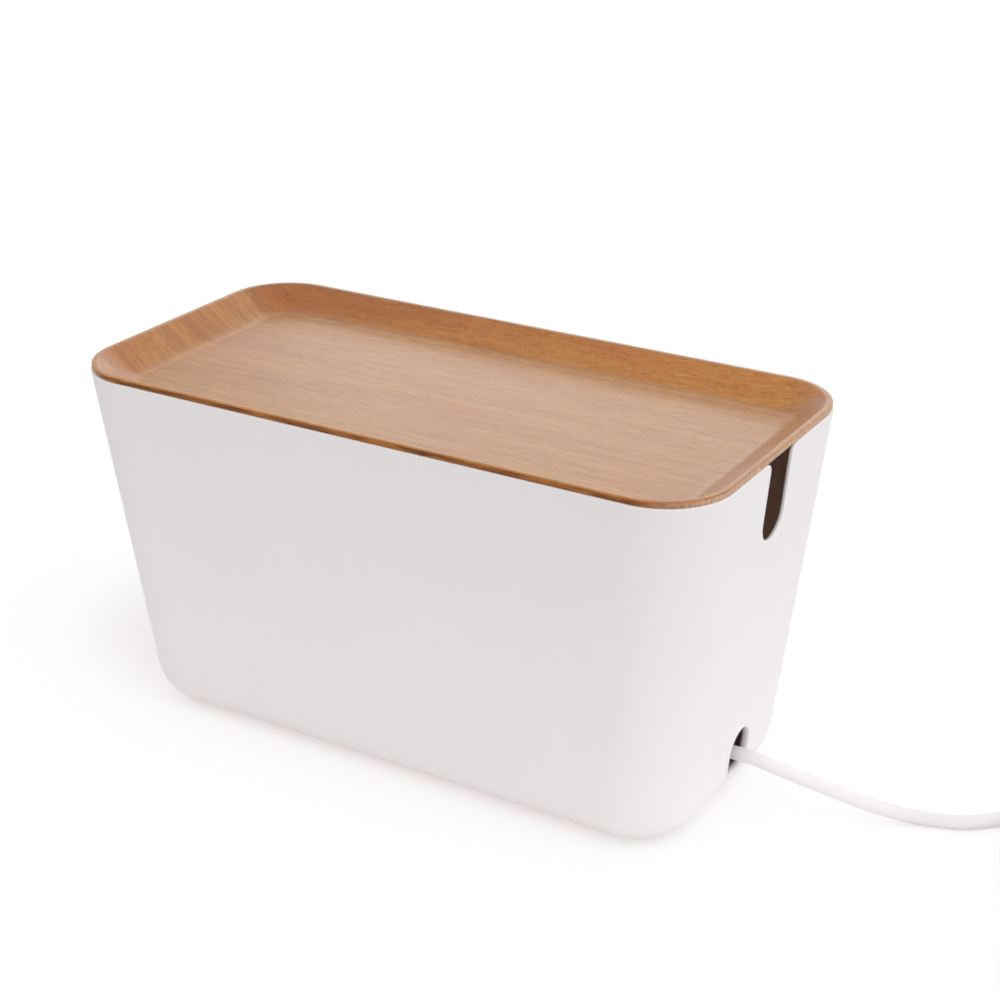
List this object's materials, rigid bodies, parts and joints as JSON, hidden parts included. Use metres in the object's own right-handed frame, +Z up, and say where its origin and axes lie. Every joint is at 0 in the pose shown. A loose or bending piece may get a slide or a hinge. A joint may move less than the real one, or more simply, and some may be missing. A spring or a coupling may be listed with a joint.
{
  "type": "cable management box",
  "caption": "Tapered box with a lift-off wooden tray lid, cable openings in its end walls and a power strip inside whose lead comes out low at one end.",
  "frame": {"origin": "on the standing surface, under the middle of the tub", "axes": "+X along the tub, towards the end where the lead comes out; +Y to the back; +Z up"},
  "size_m": [0.4971, 0.1541, 0.1675],
  "materials": {
    "tub_plastic": "satin, very fine texture",
    "pressed_wood": "satin lacquer over straight grain",
    "foot_rubber": "matt",
    "strip_plastic": "low gloss",
    "contact_brass": "bare",
    "plated_steel": "nickel plated",
    "switch_plastic": "low gloss",
    "rocker_plastic": "glossy, slightly clear",
    "live_insulation": "matt",
    "neutral_insulation": "matt",
    "earth_insulation": "matt",
    "lead_jacket": "soft satin",
    "tie_strap": "woven",
    "plug_plastic": "satin"
  },
  "bodies": {
    "box": {"box_shell": "tub_plastic", "foot_front_left": "foot_rubber", "foot_front_right": "foot_rubber", "foot_back_left": "foot_rubber", "foot_back_right": "foot_rubber", "strip_base": "strip_plastic", "strip_cover": "strip_plastic", "strip_screws": "plated_steel", "live_busbar": "contact_brass", "neutral_busbar": "contact_brass", "earth_rail": "plated_steel", "switch_frame": "switch_plastic", "switch_terminals": "contact_brass", "live_leads": "live_insulation", "neutral_leads": "neutral_insulation", "earth_lead": "earth_insulation", "cord_clamp": "strip_plastic", "clamp_screws": "plated_steel", "strip_sleeve": "lead_jacket", "cord_inner_end": "lead_jacket", "mains_cord": "lead_jacket", "cord_coil": "lead_jacket", "coil_ties": "tie_strap", "cord_tail": "lead_jacket", "plug_body": "plug_plastic", "plug_pins": "plated_steel", "plug_earth_contacts": "plated_steel", "plug_sleeve": "lead_jacket"},
    "lid": {"lid_tray": "pressed_wood"},
    "rocker": {"switch_rocker": "rocker_plastic"}
  },
  "joints": [
    {"name": "lid_lift", "type": "slide", "parent": "box", "child": "lid", "axis": [0, 0, 1], "range_m": [0, 0.12]},
    {"name": "rocker_tilt", "type": "hinge", "parent": "box", "child": "rocker", "pos_m": [0.0658, 0, 0.044], "axis": [1, 0, 0], "range_deg": [0, 20]}
  ]
}
